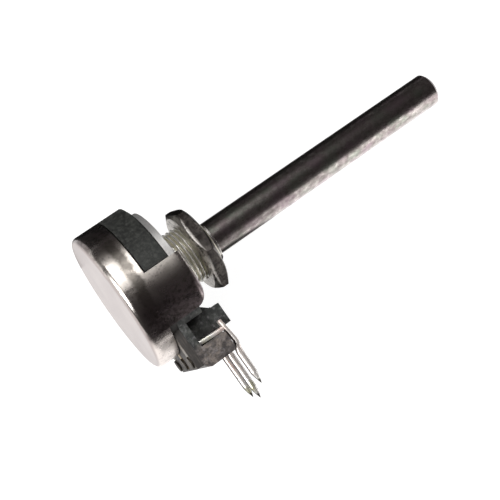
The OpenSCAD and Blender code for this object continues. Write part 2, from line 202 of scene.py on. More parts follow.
def nickel_on_drawn_steel():
    """Bright nickel over deep-drawn steel. The wall is worn: dull brown and mauve clouds lie between bright
    patches, with specks of tarnish and fine draw marks. On the wall there is also a painted highlight in bright
    bands, painted shade towards the terminals and on the side away from them, and a pale painted reflection at
    the rear corner over the terminals. The flat back is clean and a little rosy. Every band below is a stretch of
    X or Y, in metres."""
    material, tree, shader, where = start_finish("nickel_on_drawn_steel", 1.0, 0.2)
    clouds = mottle(tree, where, 2.2, (1.5, 1, 1), 6, 0.64, 0.6)
    tints = mottle(tree, where, 3.4, detail=3)
    specks = mottle(tree, where, 0.3, detail=3, rough=0.7)
    colour = ramp(tree, clouds, (0.3, "#4d4643"), (0.45, "#857e79"), (0.58, "#bdb7b1"), (0.78, "#ebe5df"))
    colour = lay_over(tree, scaled(tree, tints, 0.5, 0.68, 0, 0.5), colour, linear("#6f5f62"))
    place = add(tree, "ShaderNodeSeparateXYZ", None, {0: where})
    # the belt's edges wander by up to 1.5 mm
    wander = add(tree, "ShaderNodeMath", {"operation": "MULTIPLY_ADD"}, {
        0: clouds, 1: 0.003, 2: -0.0015}).outputs[0]
    along_shaft = add(tree, "ShaderNodeMath", {"operation": "ADD"}, {
        0: place.outputs["X"], 1: wander}).outputs[0]
    # painted highlight: bright bands on the side away from the terminals, where the wall mirrors a soft light
    painted_highlight = add(tree, "ShaderNodeMath", {"operation": "MULTIPLY"}, {
        0: scaled(tree, place.outputs["Y"], -0.002, 0.0004, 0, 0.75),
        1: scaled(tree, place.outputs["Y"], 0.0078, 0.0056, 0, 1)}).outputs[0]
    colour = lay_over(tree, painted_highlight, colour, linear("#e6dfd7"))
    # a darker belt runs round the middle of the wall and cuts the painted highlight there into two bands
    belt_back = scaled(tree, along_shaft, -0.009, -0.0083, 0, 0.85)
    belt = add(tree, "ShaderNodeMath", {"operation": "MULTIPLY"}, {
        0: belt_back, 1: scaled(tree, along_shaft, -0.0066, -0.0071, 0, 1)}).outputs[0]
    colour = lay_over(tree, belt, colour, ramp(tree, clouds, (0.35, "#4b4641"), (0.62, "#88827a")))
    # painted shade: the wall is painted darker towards the terminals and on the side away from them, where it
    # mirrors the dark room
    low = scaled(tree, place.outputs["Y"], -0.0004, -0.0042, 0, 0.9)
    high = scaled(tree, place.outputs["Y"], 0.0065, 0.0095, 0, 0.72)
    front = scaled(tree, place.outputs["X"], -0.0106, -0.0095, 0.5, 1)
    foot = add(tree, "ShaderNodeMath", {"operation": "MULTIPLY"}, {0: low, 1: front}).outputs[0]
    shade = add(tree, "ShaderNodeMath", {"operation": "MAXIMUM"}, {0: foot, 1: high}).outputs[0]
    # but the rear corner over the terminals is a pale painted reflection of the lit table, and the painted shade
    # is taken off there
    corner = add(tree, "ShaderNodeMath", {"operation": "MULTIPLY"}, {
        0: scaled(tree, place.outputs["Y"], -0.0076, -0.0094, 0, 0.9),
        1: scaled(tree, place.outputs["X"], -0.0066, -0.008, 0, 1)}).outputs[0]
    shade = add(tree, "ShaderNodeMath", {"operation": "SUBTRACT", "use_clamp": True}, {
        0: shade, 1: corner}).outputs[0]
    painted_shade_tone = ramp(tree, specks, (0.35, "#352f2c"), (0.62, "#6d6265"))
    colour = lay_over(tree, shade, colour, painted_shade_tone)
    colour = lay_over(tree, corner, colour, linear("#efe6e0"))
    colour = lay_over(tree, scaled(tree, specks, 0.55, 0.7, 0, 0.5), colour, linear("#4b4543"))
    back = scaled(tree, place.outputs["X"], (CAN_BACK + 0.35) / 1000, (CAN_BACK + 0.1) / 1000, 0, 1)
    haze = ramp(tree, tints, (0.3, "#a29795"), (0.7, "#b3a9a6"))
    tree.links.new(lay_over(tree, back, colour, haze), shader.inputs["Base Color"])
    dull = scaled(tree, clouds, 0.35, 0.65, 0.4, 0.18)
    calm = add(tree, "ShaderNodeMix", None, {0: back, 2: dull, 3: 0.3}).outputs[0]
    tree.links.new(calm, shader.inputs["Roughness"])
    draw_marks = mottle(tree, where, 0.12, (14, 1, 1), 2, 0.5)
    tree.links.new(relief(tree, draw_marks, 0.006, 0.5), shader.inputs["Normal"])
    return material


def can_shell():
    """The sheet's section is a path: out over the back, round the bend, along the wall, round the fold and in
    over the plate. Two grids, its outer and its inner face, carry that path round the axis. Cells are left out
    where the wall is cut, and each free edge gets a wall as thick as the sheet. Towards the front a lobe's columns
    are pushed together on one side, so that its lower corner is an ellipse."""
    bend = np.radians(np.linspace(-90, 0, 9))
    back = span(0, CAN_R - CAN_EDGE, BACK_CELLS)
    back_out = [np.concatenate([back, CAN_R - CAN_EDGE + CAN_EDGE * np.cos(bend)]),
                np.concatenate([0 * back + CAN_BACK, CAN_BACK + CAN_EDGE + CAN_EDGE * np.sin(bend)])]
    thin = CAN_EDGE - CAN_SHEET
    back_in = [np.concatenate([back, CAN_R - CAN_EDGE + thin * np.cos(bend)]),
               np.concatenate([0 * back + CAN_BACK + CAN_SHEET, CAN_BACK + CAN_EDGE + thin * np.sin(bend)])]
    wall = np.concatenate([span(CAN_BACK + CAN_EDGE, FOOT_EDGE, REAR_CELLS)[1:],
                           span(FOOT_EDGE, WINDOW_BACK, STEP_CELLS), span(WINDOW_BACK, CAN_SHEET - FOLD, 14)])
    turn = np.radians(np.linspace(0, 90, 9))
    fold_out = [CAN_R - FOLD + FOLD * np.cos(turn), CAN_SHEET - FOLD + FOLD * np.sin(turn)]
    fold_in = [CAN_R - FOLD + (FOLD - CAN_SHEET) * np.cos(turn),
               CAN_SHEET - FOLD + (FOLD - CAN_SHEET) * np.sin(turn)]
    tongue = np.linspace(CAN_R - FOLD, FOLD_END, 7)[1:]
    r_out = np.concatenate([back_out[0], np.full(len(wall), CAN_R), fold_out[0], tongue])
    x_out = np.concatenate([back_out[1], wall, fold_out[1], np.full_like(tongue, CAN_SHEET)])
    r_in = np.concatenate([back_in[0], np.full(len(wall), CAN_R - CAN_SHEET), fold_in[0], tongue])
    x_in = np.concatenate([back_in[1], wall, fold_in[1], np.zeros_like(tongue)])
    first_wall = len(back_out[0])
    foot_row = first_wall + REAR_CELLS - 1
    window_row = foot_row + STEP_CELLS

    # columns: a lobe, the side of the terminals, the other lobe, the side away from the terminals
    columns = [(LOBE_TOP, LOBE_FOOT, 26), (LOBE_FOOT, 360 - LOBE_FOOT, 50),
               (360 - LOBE_FOOT, 360 - LOBE_TOP, 26), (360 - LOBE_TOP, 360 + LOBE_TOP, 86)]
    angle = np.concatenate([span(*c) for c in columns])
    kind = np.concatenate([np.full(c[2], k) for k, c in enumerate(columns)])

    # rows of angles, with the lobes' foot edges drawn in
    drop = np.sqrt(np.clip(1 - ((x_out - CORNER_BACK) / (CAN_SHEET - CORNER_BACK)) ** 2, 0, 1))
    edge_y = CORNER_TOP + CORNER_DROP * np.where(x_out < CORNER_BACK, 1, drop)
    foot = 90 + np.degrees(np.arcsin(np.clip(edge_y / np.maximum(r_out, 1), 0, 1)))
    foot = np.minimum(np.where(x_out < CORNER_BACK, LOBE_FOOT, foot), LOBE_FOOT)
    foot[:first_wall] = LOBE_FOOT
    squeeze = (foot - LOBE_TOP) / (LOBE_FOOT - LOBE_TOP)
    a = np.broadcast_to(angle[:, None], (len(angle), len(r_out))).copy()
    near = (angle >= LOBE_TOP) & (angle <= LOBE_FOOT)
    far = (angle >= 360 - LOBE_FOOT) & (angle <= 360 - LOBE_TOP)
    a[near] = LOBE_TOP + (a[near] - LOBE_TOP) * squeeze
    a[far] = 360 - LOBE_TOP - (360 - LOBE_TOP - a[far]) * squeeze
    outer = ring_points(a, r_out, x_out)
    inner = ring_points(a, r_in, x_in)

    rows, cols = a.shape
    present = np.ones((rows, cols - 1), bool)
    present[kind == 3, window_row:] = False
    present[kind == 1, foot_row:] = False
    corner = np.arange(rows * cols).reshape(rows, cols)
    nxt = np.roll(corner, -1, 0)
    cell = np.stack([corner[:, :-1], nxt[:, :-1], nxt[:, 1:], corner[:, 1:]], -1)
    size = rows * cols
    faces = [cell[present], cell[present][:, ::-1] + size]
    # free edges: at the row ahead, at the row behind, and at the two sides
    ahead = present & ~np.pad(present, ((0, 0), (0, 1)))[:, 1:]
    faces.append(np.stack([cell[..., 3], cell[..., 2], cell[..., 2] + size, cell[..., 3] + size], -1)[ahead])
    right = present & ~np.roll(present, -1, 0)
    faces.append(np.stack([cell[..., 1], cell[..., 2], cell[..., 2] + size, cell[..., 1] + size], -1)[right])
    left = present & ~np.roll(present, 1, 0)
    faces.append(np.stack([cell[..., 0], cell[..., 3], cell[..., 3] + size, cell[..., 0] + size], -1)[left])
    faces = np.concatenate(faces)
    used, new = np.unique(faces, return_inverse=True)
    points = np.concatenate([outer.reshape(-1, 3), inner.reshape(-1, 3)])[used]
    return points, new.reshape(faces.shape).tolist()


make_piece("drawn_can", [can_shell()], "housing", ["can"], nickel_on_drawn_steel(),
           rounding=0.07, smooth=50)


# ---- Base ----
# The base is one compression moulding in black phenolic. Its drum fills the can behind the plate and shows through
# the opening, flush with the wall. Below it a neck, a rib and a block carry the three terminals.

BASE_BACK = -5.8
PLATE_BACK = -1.4
DRUM_R = 11.85
DRUM_FOOT = 8.8          # the drum is cut flat here, where the neck goes on
BORE_R = 3.4
CHAMBER_R = 9.0
CHAMBER_BACK = -3.6
LUG_R = 5.2              # the stop lug stands in the chamber from this radius out
LUG_HALF = 15.0          # half its width, in degrees
SILL_FRONT = -1.7        # front of the flush part that shows in the can's opening
SILL_HALF = 84.5
BLOCK_HALF = 8.0
BLOCK_FRONT = -0.15
SHOULDER = 13.1          # top of the block, under the strips
BLOCK_FOOT = 16.5
NECK_HALF = 5.2
NECK_STEP = -1.6         # in front of this the neck reaches up to the rib's top
NECK_FRONT = -0.75
RIB_TOP = 7.4            # inside the drum
RIB_FRONT = -4.5
ARM_BACK = -0.85
ARM_GAP_HALF = 2.2
ARM_TIP = 2.1
ARM_FOOT = 12.6


def turned_rows(angle, section, closed=True):
    """A section of radius and x pairs carried round the axis. The section may be one list, or an array with one
    list for each angle."""
    section = np.asarray(section, float)
    if section.ndim == 2:
        section = np.broadcast_to(section, (len(angle),) + section.shape)
    points = ring_points(np.asarray(angle)[:, None], section[..., 0], section[..., 1])
    faces = grid_faces(points.shape[0], points.shape[1], closed, True).tolist()
    if not closed:
        n = points.shape[1]
        last = (points.shape[0] - 1) * n
        faces += [list(range(n)), [last + k for k in range(n)][::-1]]
    return points, faces


def slab(outline, z0, z1):
    """A flat outline of x and distance below the axis, carried straight from z0 to z1 and closed at both ends."""
    outline = np.asarray(outline, float)
    n = len(outline)
    points = np.concatenate([np.column_stack([outline[:, 0], -outline[:, 1], np.full(n, z)]) for z in (z0, z1)])
    sides = grid_faces(2, n, False, True).tolist()
    return points, sides + [list(range(n)), list(range(2 * n - 1, n - 1, -1))]


def cut_flat(angle, radius, flat):
    """Radius of a disc with one side cut off towards -Y: r = min(R, flat / -cos(angle)). The least divisor keeps
    the other side finite."""
    return np.minimum(radius, flat / np.maximum(-np.cos(np.radians(angle)), 0.05))


def section_rows(angle, corners):
    """One section per angle, from corners of radius and x, each a number or an array with a value per angle."""
    return np.stack([np.stack([np.broadcast_to(r, angle.shape), np.broadcast_to(x, angle.shape)], -1)
                     for r, x in corners], 1)


def dusty_black_phenolic():
    """Compression-moulded black phenolic: a dull satin skin, with pale dust caught in its grain. The terminal
    block has small chips and rub marks of a grey-mauve tone, and the drum, inside the can, has kept its black."""
    material, tree, shader, where = start_finish("dusty_black_phenolic", 0.0, 0.62)
    dust = mottle(tree, where, 1.1, detail=8, rough=0.72, bend=0.5)
    grain = mottle(tree, where, 0.3, detail=5, rough=0.75)
    colour = ramp(tree, dust, (0.34, "#161716"), (0.48, "#2f312f"), (0.58, "#484a47"), (0.72, "#6a6a67"))
    chips = ramp(tree, dust, (0.36, "#211d1e"), (0.5, "#4c4644"), (0.64, "#82776f"))
    down = add(tree, "ShaderNodeSeparateXYZ", None, {0: where}).outputs["Y"]
    colour = lay_over(tree, scaled(tree, down, -0.0122, -0.0136, 0, 0.85), colour, chips)
    colour = lay_over(tree, scaled(tree, grain, 0.52, 0.7, 0, 0.55), colour, linear("#8a878a"))
    colour = lay_over(tree, scaled(tree, grain, 0.46, 0.34, 0, 0.6), colour, linear("#101010"))
    colour = lay_over(tree, scaled(tree, down, -0.009, -0.006, 0, 0.8), colour,
                      ramp(tree, grain, (0.4, "#030403"), (0.6, "#2a2c27")))
    shader.inputs["IOR"].default_value = 1.6
    shader.inputs["Specular IOR Level"].default_value = 0.35
    tree.links.new(colour, shader.inputs["Base Color"])
    tree.links.new(scaled(tree, grain, 0.3, 0.7, 0.5, 0.72), shader.inputs["Roughness"])
    tree.links.new(relief(tree, grain, 0.04, 0.7), shader.inputs["Normal"])
    return material


around = span(0, 360, 144)
drum_r = cut_flat(around, DRUM_R, DRUM_FOOT)
chamber_r = np.where(np.abs(around - 180) <= LUG_HALF, LUG_R, CHAMBER_R)
drum_section = section_rows(around, [
    (BORE_R, BASE_BACK), (drum_r, BASE_BACK), (drum_r, PLATE_BACK), (chamber_r, PLATE_BACK),
    (chamber_r, CHAMBER_BACK), (BORE_R, CHAMBER_BACK)])
sill_section = [(DRUM_R - 1, BASE_BACK), (CAN_R, BASE_BACK), (CAN_R, SILL_FRONT), (DRUM_R - 1, SILL_FRONT)]
arm_outline = [(ARM_BACK, 7.87), (0.6, 9.1), (ARM_TIP, 9.1), (ARM_TIP, ARM_FOOT), (ARM_BACK, ARM_FOOT)]
base_shells = [
    turned_rows(around, drum_section),
    turned_rows(np.linspace(-SILL_HALF, SILL_HALF, 90), sill_section, closed=False),
    slab([(BASE_BACK, 8.7), (NECK_STEP, 8.7), (NECK_STEP, RIB_TOP), (PLATE_BACK, RIB_TOP), (NECK_FRONT, 7.95),
          (NECK_FRONT, ARM_FOOT), (BLOCK_FRONT, ARM_FOOT), (BLOCK_FRONT, 13.6), (BASE_BACK, 13.6)],
         -NECK_HALF, NECK_HALF),
    slab(arm_outline, ARM_GAP_HALF, NECK_HALF),
    slab(arm_outline, -NECK_HALF, -ARM_GAP_HALF),
    slab([(BASE_BACK, RIB_TOP), (RIB_FRONT, RIB_TOP), (RIB_FRONT, SHOULDER), (BLOCK_FRONT - 0.3, SHOULDER),
          (BLOCK_FRONT, SHOULDER + 0.3), (BLOCK_FRONT, BLOCK_FOOT - 0.4), (BLOCK_FRONT - 0.4, BLOCK_FOOT),
          (-4.9, BLOCK_FOOT), (BASE_BACK, BLOCK_FOOT - 0.7)], -BLOCK_HALF, BLOCK_HALF),
]
phenolic = dusty_black_phenolic()
make_piece("moulded_base", base_shells, "housing", ["base"], phenolic, rounding=0.12)


# ---- Wafer with its track, collector and pads ----
# The wafer is a punched disc of black paper laminate behind the base. The carbon track, the silvered pads and the
# brass collector lie on its back. Their solids are right as they are and only get their finishes.

def punched_laminate():
    """Black paper laminate: matt, with fine layers that show on its cut edge."""
    material, tree, shader, where = start_finish("punched_laminate", 0.0, 0.66)
    layers = mottle(tree, where, 0.16, (0.5, 6, 6), 3, 0.6)
    clouds = mottle(tree, where, 1.5, detail=5)
    colour = ramp(tree, clouds, (0.3, "#1c1a19"), (0.7, "#3d3936"))
    colour = lay_over(tree, scaled(tree, layers, 0.5, 0.7, 0, 0.45), colour, linear("#6b645e"))
    shader.inputs["IOR"].default_value = 1.55
    tree.links.new(colour, shader.inputs["Base Color"])
    tree.links.new(scaled(tree, layers, 0.3, 0.7, 0.55, 0.8), shader.inputs["Roughness"])
    tree.links.new(relief(tree, layers, 0.02), shader.inputs["Normal"])
    return material


def printed_carbon():
    """Printed and baked carbon film: near black, faintly glossy, with screen grain."""
    material, tree, shader, where = start_finish("printed_carbon", 0.0, 0.45)
    grain = mottle(tree, where, 0.1, detail=3)
    tree.links.new(ramp(tree, grain, (0.35, "#0e0e0f"), (0.7, "#232224")), shader.inputs["Base Color"])
    tree.links.new(scaled(tree, grain, 0.3, 0.7, 0.38, 0.55), shader.inputs["Roughness"])
    tree.links.new(relief(tree, grain, 0.004), shader.inputs["Normal"])
    return material


def silvered_print():
    """Printed silver film, tarnished: grey, matt and slightly granular."""
    material, tree, shader, where = start_finish("silvered_print", 1.0, 0.5)
    grain = mottle(tree, where, 0.12, detail=3)
    tree.links.new(ramp(tree, grain, (0.3, "#77736c"), (0.7, "#a09c94")), shader.inputs["Base Color"])
    tree.links.new(scaled(tree, grain, 0.3, 0.7, 0.42, 0.6), shader.inputs["Roughness"])
    tree.links.new(relief(tree, grain, 0.004), shader.inputs["Normal"])
    return material


def rolled_metal(name, dark, light, rough):
    """Sheet metal as it comes off the rolls and out of the press: long fine roll marks and dull stains."""
    material, tree, shader, where = start_finish(name, 1.0, rough)
    lines = mottle(tree, where, 0.08, (1, 12, 1), 2)
    stains = mottle(tree, where, 1.2, detail=5)
    tree.links.new(ramp(tree, stains, (0.3, dark), (0.68, light)), shader.inputs["Base Color"])
    tree.links.new(scaled(tree, stains, 0.3, 0.7, rough + 0.12, rough - 0.06), shader.inputs["Roughness"])
    tree.links.new(relief(tree, lines, 0.004), shader.inputs["Normal"])
    return material


def give_finish(nodes, finish):
    """Puts a finish on each of the named solids."""
    for name in nodes:
        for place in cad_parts[name].material_slots:
            place.material = finish


give_finish(["wafer"], punched_laminate())
give_finish(["resistive_track"], printed_carbon())
give_finish(["end_pad_left", "end_pad_right"], silvered_print())
give_finish(["collector_ring"], rolled_metal("stamped_brass", "#4e422e", "#8a744c", 0.42))
give_finish(["rivet_left", "rivet_wiper", "rivet_right"],
            rolled_metal("tarnished_brass", "#2b2825", "#57514a", 0.6))


# ---- Rotor, wiper and the washers ----
# On the inner end of the shaft sit a phenolic rotor with its bronze wiper, and in front of them the stop washer,
# whose arm ends the travel, and a bronze washer that takes the push of the shaft. All of them are inside the can.

give_finish(["rotor"], phenolic)
give_finish(["wiper", "thrust_washer"], rolled_metal("rolled_bronze", "#8d5f37", "#cf9a68", 0.3))
give_finish(["stop_washer"], rolled_metal("zinc_plated_pressing", "#7d7f82", "#b9bcc0", 0.35))


# ---- Terminals ----
# Each terminal is one stamping of tinned brass strip. It lies on the block, ends in an upright blade against its
# front, and goes on below as a narrower pin that is rolled round and drawn to a point.

PITCH = 6.5
STRIP_HALF = 1.0
SQUARE = 8               # power of a section with crisp corners, where 2 is round
STRIP_SIDES = 24
BLADE_ROWS = 110
PIN_SHARE = 0.34         # the rolled pin begins after this share of the rows
TIP_SHARE = 0.86         # and its cut tip after this


def swept_strip(stations, z, samples=64):
    """A strip along a path of stations, each with x, distance below the axis, half the thickness across the path,
    half the width along Z, and a power p. Its section is a rounded rectangle, |a|^p + |b|^p = 1. Also returns how
    far each point lies to the side, from 0 to 1."""
    stations = np.asarray(stations, float)
    path = stations[:, :2]
    length = np.concatenate([[0], np.cumsum(np.hypot(*np.diff(path, axis=0).T))])
    # distances are smoothed once so that bends are round
    s = np.linspace(0, length[-1], samples)
    centre = np.stack([np.interp(s, length, path[:, k]) for k in (0, 1)], -1)
    soft = centre.copy()
    soft[1:-1] = (centre[:-2] + 2 * centre[1:-1] + centre[2:]) / 4
    centre = soft
    thick, wide, p = (np.interp(s, length, stations[:, k]) for k in (2, 3, 4))
    along = np.gradient(centre, axis=0)
    along /= np.linalg.norm(along, axis=1)[:, None]
    across = np.stack([-along[:, 1], along[:, 0]], -1)
    a = np.radians(span(0, 360, STRIP_SIDES))
    cos, sin = np.cos(a)[None, :], np.sin(a)[None, :]
    to_side = np.sign(cos) * np.abs(cos) ** (2 / p[:, None])
    first = to_side * thick[:, None]
    second = np.sign(sin) * np.abs(sin) ** (2 / p[:, None]) * wide[:, None]
    x = centre[:, :1] + across[:, :1] * first
    down = centre[:, 1:] + across[:, 1:] * first
    points = np.stack([x, -down, z + second], -1)
    n = points.shape[1]
    faces = grid_faces(samples, n, False, True).tolist()
    last = (samples - 1) * n
    return points, faces + [list(range(n)), [last + k for k in range(n)][::-1]], np.abs(to_side).ravel()


def tinned_brass():
    """Hot-tinned brass: bright and soft-edged, with olive and pinkish stains where the tin has run thin. Along the
    rolled pin's two sides it is painted dark, as painted shade where a round shiny pin turns from the light, and
    it is dark at the cut tip. A thin dull skin of oxide scatters light, so it isn't wholly metallic."""
    material, tree, shader, where = start_finish("tinned_brass", 0.8, 0.38)
    stains = mottle(tree, where, 1.4, (1, 2.5, 1), 4, 0.55)
    colour = ramp(tree, stains, (0.3, "#dbb5ab"), (0.42, "#f3e9e2"), (0.58, "#fdfbf6"), (0.72, "#d4d2a4"))
    side = add(tree, "ShaderNodeAttribute", {"attribute_name": "side"}).outputs["Fac"]
    # painted shade along the rolled pin's two sides, where the side mark is high; the mark also darkens the cut
    # tip
    colour = lay_over(tree, scaled(tree, side, 0.66, 0.9, 0, 0.92), colour, linear("#2c2825"))
    tree.links.new(colour, shader.inputs["Base Color"])
    tree.links.new(scaled(tree, stains, 0.35, 0.7, 0.46, 0.3), shader.inputs["Roughness"])
    tree.links.new(relief(tree, mottle(tree, where, 0.5, (1, 3, 1), 3), 0.01, 0.5), shader.inputs["Normal"])
    return material


tin = tinned_brass()
for name, node, side, pin_x, tip in (("pin_left", "terminal_left", -1, 0.15, 25.8),
                                     ("pin_wiper", "terminal_wiper", 0, -0.1, 25.8),
                                     ("pin_right", "terminal_right", 1, 0.15, 23.2)):
    z = side * PITCH
    run = swept_strip([
        (-5.5, 15.2, 0.3, STRIP_HALF, SQUARE),      # the tab that is riveted to the wafer
        (-5.5, 13.0, 0.3, STRIP_HALF, SQUARE),
        (-5.2, 12.6, 0.34, STRIP_HALF, SQUARE),
        (-4.6, 12.5, 0.38, STRIP_HALF, SQUARE),     # forwards over the block
        (-1.4, 12.72, 0.38, STRIP_HALF, SQUARE),
        (0.1, 12.72, 0.34, STRIP_HALF, SQUARE)], z)
    blade = swept_strip([
        (0.2, 11.35, 0.26, 0.85, SQUARE),           # the upright blade
        (0.3, 12.4, 0.3, STRIP_HALF, SQUARE),
        (0.66, 15.3, 0.3, STRIP_HALF, SQUARE),
        (0.55, 15.9, 0.32, 0.95, 6),                # its shoulder
        (pin_x + 0.1, 16.7, 0.5, 0.7, 3.4),
        (pin_x, 17.4, 0.58, 0.58, 2.6),             # the rolled pin
        (pin_x, tip - 2.0, 0.56, 0.56, 2.4),
        (pin_x, tip - 1.0, 0.36, 0.36, 2.2),
        (pin_x, tip, 0.05, 0.05, 2)], z, samples=BLADE_ROWS)
    down_blade = np.repeat(np.linspace(0, 1, BLADE_ROWS), STRIP_SIDES)
    cut_tip = np.clip((down_blade - TIP_SHARE) / 0.1, 0, 1)
    # marks for the finish: painted shade along the rolled pin's two sides, and the dark cut tip
    marks = np.maximum(blade[2] * (down_blade > PIN_SHARE), cut_tip)
    make_piece(name, [run[:2], blade[:2]], "housing", [node], tin, smooth=60,
               marks=np.concatenate([0 * run[2], marks]))


# ---- Front plate ----
# The plate closes the stack in front. It is a matt light-alloy disc with one side cut off towards the terminals,
# and the bush is staked in its middle.

PLATE_R = 10.5
PLATE_FLAT = 7.2
SPIGOT_R = 4.0
STAKE_PLAY = 0.02        # between the hole's wall and the spigot


def matt_light_alloy():
    """Tumbled light alloy: matt pale grey, evenly grained, with a few darker smears. Its rough skin scatters
    light, so it isn't wholly metallic."""
    material, tree, shader, where = start_finish("matt_light_alloy", 0.8, 0.52)
    grain = mottle(tree, where, 0.18, detail=4, rough=0.65)
    smears = mottle(tree, where, 2.2, detail=4)
    colour = ramp(tree, smears, (0.3, "#d0cecb"), (0.6, "#f1f0ee"))
    colour = lay_over(tree, scaled(tree, grain, 0.56, 0.74, 0, 0.5), colour, linear("#9a9794"))
    tree.links.new(colour, shader.inputs["Base Color"])
    tree.links.new(scaled(tree, grain, 0.3, 0.7, 0.44, 0.6), shader.inputs["Roughness"])
    tree.links.new(relief(tree, grain, 0.012), shader.inputs["Normal"])
    return material


rim = cut_flat(around, PLATE_R, PLATE_FLAT)
hole = SPIGOT_R + STAKE_PLAY
plate_section = section_rows(around, [(hole, PLATE_BACK), (rim, PLATE_BACK), (rim, 0.0), (hole, 0.0)])
make_piece("front_disc", [turned_rows(around, plate_section)], "housing", ["front_plate"],
           matt_light_alloy(), rounding=0.1)


# ---- Bush ----
# The bush is turned from brass and nickel-plated. Its spigot goes through the plate and is spread behind it. In
# front it has a fine rolled thread, one turn every 0.75 mm, and a plain bore that carries the shaft.

BUSH_END = 7.4
THREAD_R = 5.0
THREAD_ROOT = 4.52
THREAD_PITCH = 0.75
TOOTH_STRETCH = 1.4375   # a triangle wave this tall is clipped to 1, so that the crests are flat
ROOT_DROP = 0.22         # and lowered by this first, so that the roots are flat too
RELIEF_END = 0.35
THREAD_FADE = 0.5
BUSH_CHAMFER = 0.6
BUSH_BORE = 3.03
BORE_CHAMFER = 0.2
STAKE_R = SPIGOT_R + 0.7     # the spigot's spread end, behind the plate
STAKE_BACK = -1.8


def threaded_bush(angles=180, rows=130):
    """Section round the axis. Where the thread is, the radius falls from the crest to the root and back once a
    pitch, and the phase moves one pitch for each turn: phase = x / pitch - angle / 360. The tooth is a clipped
    triangle wave. It fades out in the relief at the plate and is cut by the chamfer at the end."""
    a = span(0, 360, angles)[:, None]
    x = np.linspace(0.0, BUSH_END, rows)[None, :]
    phase = (x / THREAD_PITCH - a / 360) % 1
    tooth = np.clip(TOOTH_STRETCH * (1 - 2 * np.abs(phase - 0.5)) - ROOT_DROP, 0, 1)
    fade = np.clip((x - RELIEF_END) / THREAD_FADE, 0, 1)
    r = THREAD_ROOT + (THREAD_R - THREAD_ROOT) * tooth * fade
    r = np.minimum(r, THREAD_R - BUSH_CHAMFER + (BUSH_END - x))
    x = np.broadcast_to(x, r.shape)
    ones = np.ones((angles, 1))
    back = [(BUSH_BORE, STAKE_BACK), (STAKE_R, STAKE_BACK), (STAKE_R, PLATE_BACK), (SPIGOT_R, PLATE_BACK),
            (SPIGOT_R, 0.0)]
    mouth = [(BUSH_BORE + BORE_CHAMFER, BUSH_END), (BUSH_BORE, BUSH_END - BORE_CHAMFER)]
    radius = np.concatenate([ones * p[0] for p in back] + [r] + [ones * p[0] for p in mouth], 1)
    place = np.concatenate([ones * p[1] for p in back] + [x] + [ones * p[1] for p in mouth], 1)
    return turned_rows(a[:, 0], np.stack([radius, place], -1))


def plated_turned_brass():
    """Nickel over turned brass: bright crests, with the olive-yellow of the brass and old oil in the roots of
    the thread, where the plating is thin. The film of oil scatters light, so it isn't wholly metallic."""
    material, tree, shader, where = start_finish("plated_turned_brass", 0.6, 0.3)
    parts = add(tree, "ShaderNodeSeparateXYZ", None, {0: where})
    flat = add(tree, "ShaderNodeCombineXYZ", None, {1: parts.outputs["Y"], 2: parts.outputs["Z"]}).outputs[0]
    radius = add(tree, "ShaderNodeVectorMath", {"operation": "LENGTH"}, {0: flat}).outputs["Value"]
    stains = mottle(tree, where, 1.4, detail=5)
    crest = scaled(tree, radius, THREAD_ROOT / 1000 + 0.00005, THREAD_R / 1000 - 0.0001, 0, 1)
    low = ramp(tree, stains, (0.3, "#bdb9ab"), (0.65, "#d8d3bc"))
    high = ramp(tree, stains, (0.3, "#eae7df"), (0.7, "#fffdf8"))
    tree.links.new(lay_over(tree, crest, low, high), shader.inputs["Base Color"])
    tree.links.new(scaled(tree, crest, 0, 1, 0.42, 0.24), shader.inputs["Roughness"])
    tree.links.new(relief(tree, mottle(tree, where, 0.1, detail=3), 0.006), shader.inputs["Normal"])
    return material


make_piece("threaded_bush", [threaded_bush()], "housing", ["bushing"], plated_turned_brass(),
           smooth=50)


# ---- Shaft ----
# The shaft is bright drawn steel rod, cut off and chamfered at its tip. It has a groove for the open ring in front
# of the bush and two flats on its inner end. Handling has left it dark, with small stains.

SHAFT_R = 3.0
SHAFT_TIP = 56.5
FLAT_HALF = 2.3
FLAT_FRONT = -2.13       # the two flats begin behind this
SHAFT_BACK = -10.1
GROOVE_R = 2.5
RING_BACK = 7.43
RING_FRONT = 7.98
RING_PLAY = 0.02         # the groove is this much wider and deeper than the ring
TIP_CHAMFER = 0.5


def round_shaft():
    """Section round the axis. Behind the thrust washer the radius is held to the two flats:
    r = min(R, flat / |sin(angle)|)."""
    angle = span(0, 360, 144)
    back_r = np.minimum(SHAFT_R, FLAT_HALF / np.maximum(np.abs(np.sin(np.radians(angle))), 0.1))
    back = [(0.0, SHAFT_BACK), (back_r, SHAFT_BACK), (back_r, FLAT_FRONT)]
    groove = [(SHAFT_R, FLAT_FRONT), (SHAFT_R, RING_BACK - RING_PLAY), (GROOVE_R, RING_BACK - RING_PLAY),
              (GROOVE_R, RING_FRONT + RING_PLAY), (SHAFT_R, RING_FRONT + RING_PLAY)]
    front = [(SHAFT_R, x) for x in np.linspace(12, SHAFT_TIP - TIP_CHAMFER, 12)]
    tip = [(SHAFT_R - TIP_CHAMFER, SHAFT_TIP), (0.0, SHAFT_TIP)]
    section = section_rows(angle, back + groove + front + tip)
    points = ring_points(angle[:, None], section[..., 0], section[..., 1])
    return points, grid_faces(points.shape[0], points.shape[1], True, False).tolist()


